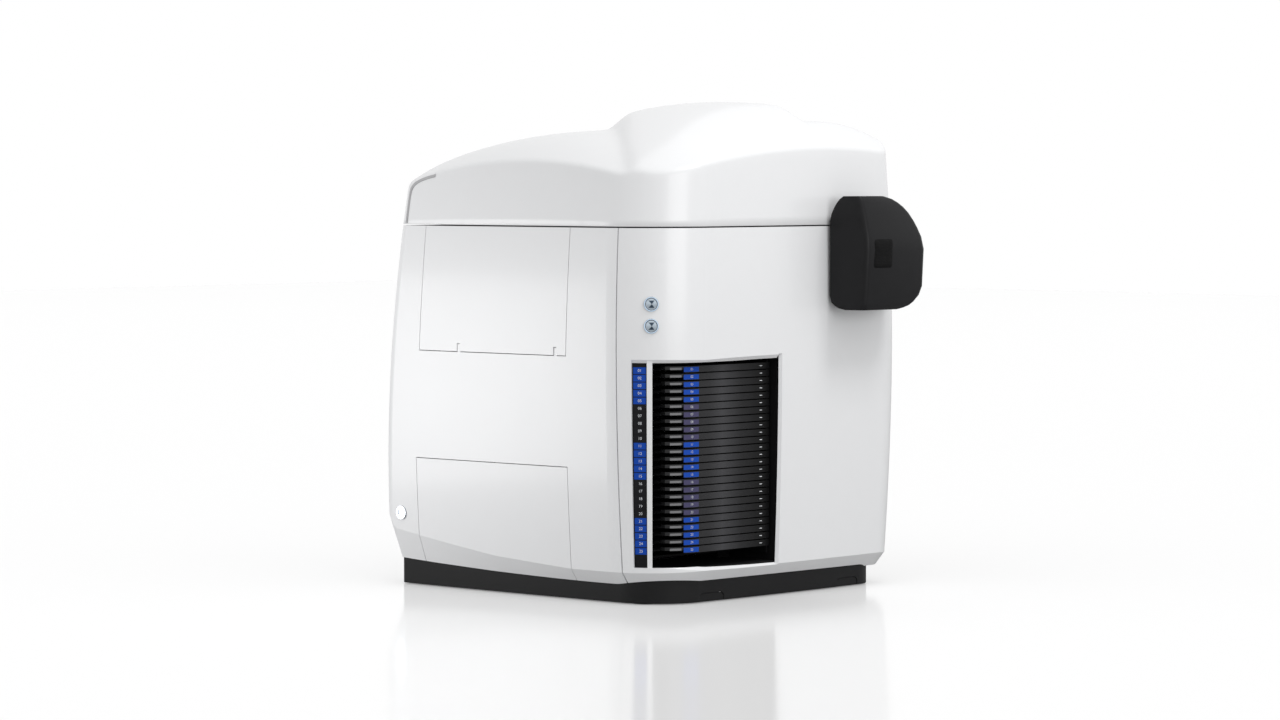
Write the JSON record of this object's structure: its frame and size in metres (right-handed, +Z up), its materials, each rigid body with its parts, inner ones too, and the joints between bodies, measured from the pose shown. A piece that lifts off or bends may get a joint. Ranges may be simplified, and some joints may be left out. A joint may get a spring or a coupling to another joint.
{
  "type": "digital slide scanner",
  "caption": "Bench-top digital slide scanner with a domed hood, a window on a magazine of slide trays, a service door, push buttons and a black lamp housing.",
  "frame": {"origin": "on the floor under the middle of the whole outline", "axes": "+Z up, front with the tray window and the lamp housing towards -Y, +X to the right as seen from the front"},
  "size_m": [0.524, 0.5991, 0.6712],
  "materials": {
    "housing_white": "satin moulded skin",
    "plinth_black": "matt",
    "lamp_black": "satin",
    "tray_black": "satin",
    "magazine_black": "matt",
    "strip_blue": "matt print",
    "trim_grey": "satin",
    "button_metal": "polished",
    "rubber_foot": "matt",
    "frame_grey": "powder coat",
    "machined_aluminium": "machined",
    "ground_steel": "ground",
    "motor_black": "satin"
  },
  "bodies": {
    "housing": {"base_plate": "frame_grey", "plinth": "plinth_black", "rubber_feet": "rubber_foot", "carry_caps": "plinth_black", "left_panel": "housing_white", "front_cover": "housing_white", "right_panel": "housing_white", "rear_panel": "housing_white", "hinge_pins": "ground_steel", "lower_cover": "housing_white", "number_strip": "strip_blue", "magazine_liner": "magazine_black", "button_bezels": "trim_grey", "lamp_housing": "lamp_black", "chassis_frame": "frame_grey", "magazine_rack": "magazine_black", "camera": "motor_black", "power_supply": "frame_grey", "fan_frame": "motor_black", "rear_inlet": "motor_black", "drive_motors": "motor_black"},
    "hood": {"hood": "housing_white", "hood_trim": "trim_grey"},
    "upper_door": {"upper_door": "housing_white"},
    "start_button": {"start_button": "button_metal"},
    "open_button": {"open_button": "button_metal"},
    "power_switch": {"power_switch": "button_metal"},
    "lift_screw": {"lift_screw": "ground_steel"},
    "lift_carriage": {"lift_carriage": "machined_aluminium"},
    "tray_gripper": {"tray_gripper": "machined_aluminium"},
    "stage_y": {"stage_y": "machined_aluminium"},
    "stage_x": {"stage_x": "machined_aluminium"},
    "focus_slide": {"focus_slide": "machined_aluminium"},
    "objective_turret": {"objective_turret": "ground_steel"},
    "fan_rotor": {"fan_rotor": "motor_black"},
    "tray_01": {"tray_01": "tray_black"},
    "tray_02": {"tray_02": "tray_black"},
    "tray_03": {"tray_03": "tray_black"},
    "tray_04": {"tray_04": "tray_black"},
    "tray_05": {"tray_05": "tray_black"},
    "tray_06": {"tray_06": "tray_black"},
    "tray_07": {"tray_07": "tray_black"},
    "tray_08": {"tray_08": "tray_black"},
    "tray_09": {"tray_09": "tray_black"},
    "tray_10": {"tray_10": "tray_black"},
    "tray_11": {"tray_11": "tray_black"},
    "tray_12": {"tray_12": "tray_black"},
    "tray_13": {"tray_13": "tray_black"},
    "tray_14": {"tray_14": "tray_black"},
    "tray_15": {"tray_15": "tray_black"},
    "tray_16": {"tray_16": "tray_black"},
    "tray_17": {"tray_17": "tray_black"},
    "tray_18": {"tray_18": "tray_black"},
    "tray_19": {"tray_19": "tray_black"},
    "tray_20": {"tray_20": "tray_black"},
    "tray_21": {"tray_21": "tray_black"},
    "tray_22": {"tray_22": "tray_black"},
    "tray_23": {"tray_23": "tray_black"},
    "tray_24": {"tray_24": "tray_black"},
    "tray_25": {"tray_25": "tray_black"}
  },
  "joints": [
    {"name": "hood_hinge", "type": "hinge", "parent": "housing", "child": "hood", "pos_m": [0, 0.273, 0.501], "axis": [-1, 0, 0], "range_deg": [0, 60]},
    {"name": "upper_door_hinge", "type": "hinge", "parent": "housing", "child": "upper_door", "pos_m": [-0.25857, 0.0515, 0.337], "axis": [0, -1, 0], "range_deg": [0, 88]},
    {"name": "start_button_press", "type": "slide", "parent": "housing", "child": "start_button", "axis": [0.7593, 0.6508, 0], "range_m": [0, 0.0018], "stiffness_N_per_m": 1200, "springref_m": -0.0005},
    {"name": "open_button_press", "type": "slide", "parent": "housing", "child": "open_button", "axis": [0.7593, 0.6508, 0], "range_m": [0, 0.0018], "stiffness_N_per_m": 1200, "springref_m": -0.0005},
    {"name": "power_switch_press", "type": "slide", "parent": "housing", "child": "power_switch", "axis": [1, 0, 0], "range_m": [0, 0.002], "stiffness_N_per_m": 1200, "springref_m": -0.0005},
    {"name": "tray_01_slide", "type": "slide", "parent": "housing", "child": "tray_01", "axis": [0, -1, 0], "range_m": [0, 0.11]},
    {"name": "tray_02_slide", "type": "slide", "parent": "housing", "child": "tray_02", "axis": [0, -1, 0], "range_m": [0, 0.11]},
    {"name": "tray_03_slide", "type": "slide", "parent": "housing", "child": "tray_03", "axis": [0, -1, 0], "range_m": [0, 0.11]},
    {"name": "tray_04_slide", "type": "slide", "parent": "housing", "child": "tray_04", "axis": [0, -1, 0], "range_m": [0, 0.11]},
    {"name": "tray_05_slide", "type": "slide", "parent": "housing", "child": "tray_05", "axis": [0, -1, 0], "range_m": [0, 0.11]},
    {"name": "tray_06_slide", "type": "slide", "parent": "housing", "child": "tray_06", "axis": [0, -1, 0], "range_m": [0, 0.11]},
    {"name": "tray_07_slide", "type": "slide", "parent": "housing", "child": "tray_07", "axis": [0, -1, 0], "range_m": [0, 0.11]},
    {"name": "tray_08_slide", "type": "slide", "parent": "housing", "child": "tray_08", "axis": [0, -1, 0], "range_m": [0, 0.11]},
    {"name": "tray_09_slide", "type": "slide", "parent": "housing", "child": "tray_09", "axis": [0, -1, 0], "range_m": [0, 0.11]},
    {"name": "tray_10_slide", "type": "slide", "parent": "housing", "child": "tray_10", "axis": [0, -1, 0], "range_m": [0, 0.11]},
    {"name": "tray_11_slide", "type": "slide", "parent": "housing", "child": "tray_11", "axis": [0, -1, 0], "range_m": [0, 0.11]},
    {"name": "tray_12_slide", "type": "slide", "parent": "housing", "child": "tray_12", "axis": [0, -1, 0], "range_m": [0, 0.11]},
    {"name": "tray_13_slide", "type": "slide", "parent": "housing", "child": "tray_13", "axis": [0, -1, 0], "range_m": [0, 0.11]},
    {"name": "tray_14_slide", "type": "slide", "parent": "housing", "child": "tray_14", "axis": [0, -1, 0], "range_m": [0, 0.11]},
    {"name": "tray_15_slide", "type": "slide", "parent": "housing", "child": "tray_15", "axis": [0, -1, 0], "range_m": [0, 0.11]},
    {"name": "tray_16_slide", "type": "slide", "parent": "housing", "child": "tray_16", "axis": [0, -1, 0], "range_m": [0, 0.11]},
    {"name": "tray_17_slide", "type": "slide", "parent": "housing", "child": "tray_17", "axis": [0, -1, 0], "range_m": [0, 0.11]},
    {"name": "tray_18_slide", "type": "slide", "parent": "housing", "child": "tray_18", "axis": [0, -1, 0], "range_m": [0, 0.11]},
    {"name": "tray_19_slide", "type": "slide", "parent": "housing", "child": "tray_19", "axis": [0, -1, 0], "range_m": [0, 0.11]},
    {"name": "tray_20_slide", "type": "slide", "parent": "housing", "child": "tray_20", "axis": [0, -1, 0], "range_m": [0, 0.11]},
    {"name": "tray_21_slide", "type": "slide", "parent": "housing", "child": "tray_21", "axis": [0, -1, 0], "range_m": [0, 0.11]},
    {"name": "tray_22_slide", "type": "slide", "parent": "housing", "child": "tray_22", "axis": [0, -1, 0], "range_m": [0, 0.11]},
    {"name": "tray_23_slide", "type": "slide", "parent": "housing", "child": "tray_23", "axis": [0, -1, 0], "range_m": [0, 0.11]},
    {"name": "tray_24_slide", "type": "slide", "parent": "housing", "child": "tray_24", "axis": [0, -1, 0], "range_m": [0, 0.11]},
    {"name": "tray_25_slide", "type": "slide", "parent": "housing", "child": "tray_25", "axis": [0, -1, 0], "range_m": [0, 0.11]},
    {"name": "lift_slide", "type": "slide", "parent": "housing", "child": "lift_carriage", "axis": [0, 0, 1], "range_m": [0, 0.24]},
    {"name": "lift_screw_spin", "type": "hinge", "parent": "housing", "child": "lift_screw", "pos_m": [0.009, -0.0715, 0.2], "axis": [0, 0, 1], "range_deg": [0, 4320]},
    {"name": "gripper_slide", "type": "slide", "parent": "lift_carriage", "child": "tray_gripper", "axis": [0, -1, 0], "range_m": [0, 0.05]},
    {"name": "stage_y_slide", "type": "slide", "parent": "housing", "child": "stage_y", "axis": [0, 1, 0], "range_m": [-0.015, 0.02]},
    {"name": "stage_x_slide", "type": "slide", "parent": "stage_y", "child": "stage_x", "axis": [1, 0, 0], "range_m": [-0.03, 0.03]},
    {"name": "focus_slide_move", "type": "slide", "parent": "housing", "child": "focus_slide", "axis": [0, 0, 1], "range_m": [-0.003, 0.005]},
    {"name": "turret_spin", "type": "hinge", "parent": "focus_slide", "child": "objective_turret", "pos_m": [0.09, 0.06444, 0.396], "axis": [0, 0.2588, -0.9659], "continuous": true},
    {"name": "fan_spin", "type": "hinge", "parent": "housing", "child": "fan_rotor", "pos_m": [-0.11, 0.275, 0.17], "axis": [0, 1, 0], "continuous": true}
  ],
  "couplings": [
    {"joint": "lift_screw_spin", "follows": "lift_slide", "rad_per_m": 314.16}
  ]
}
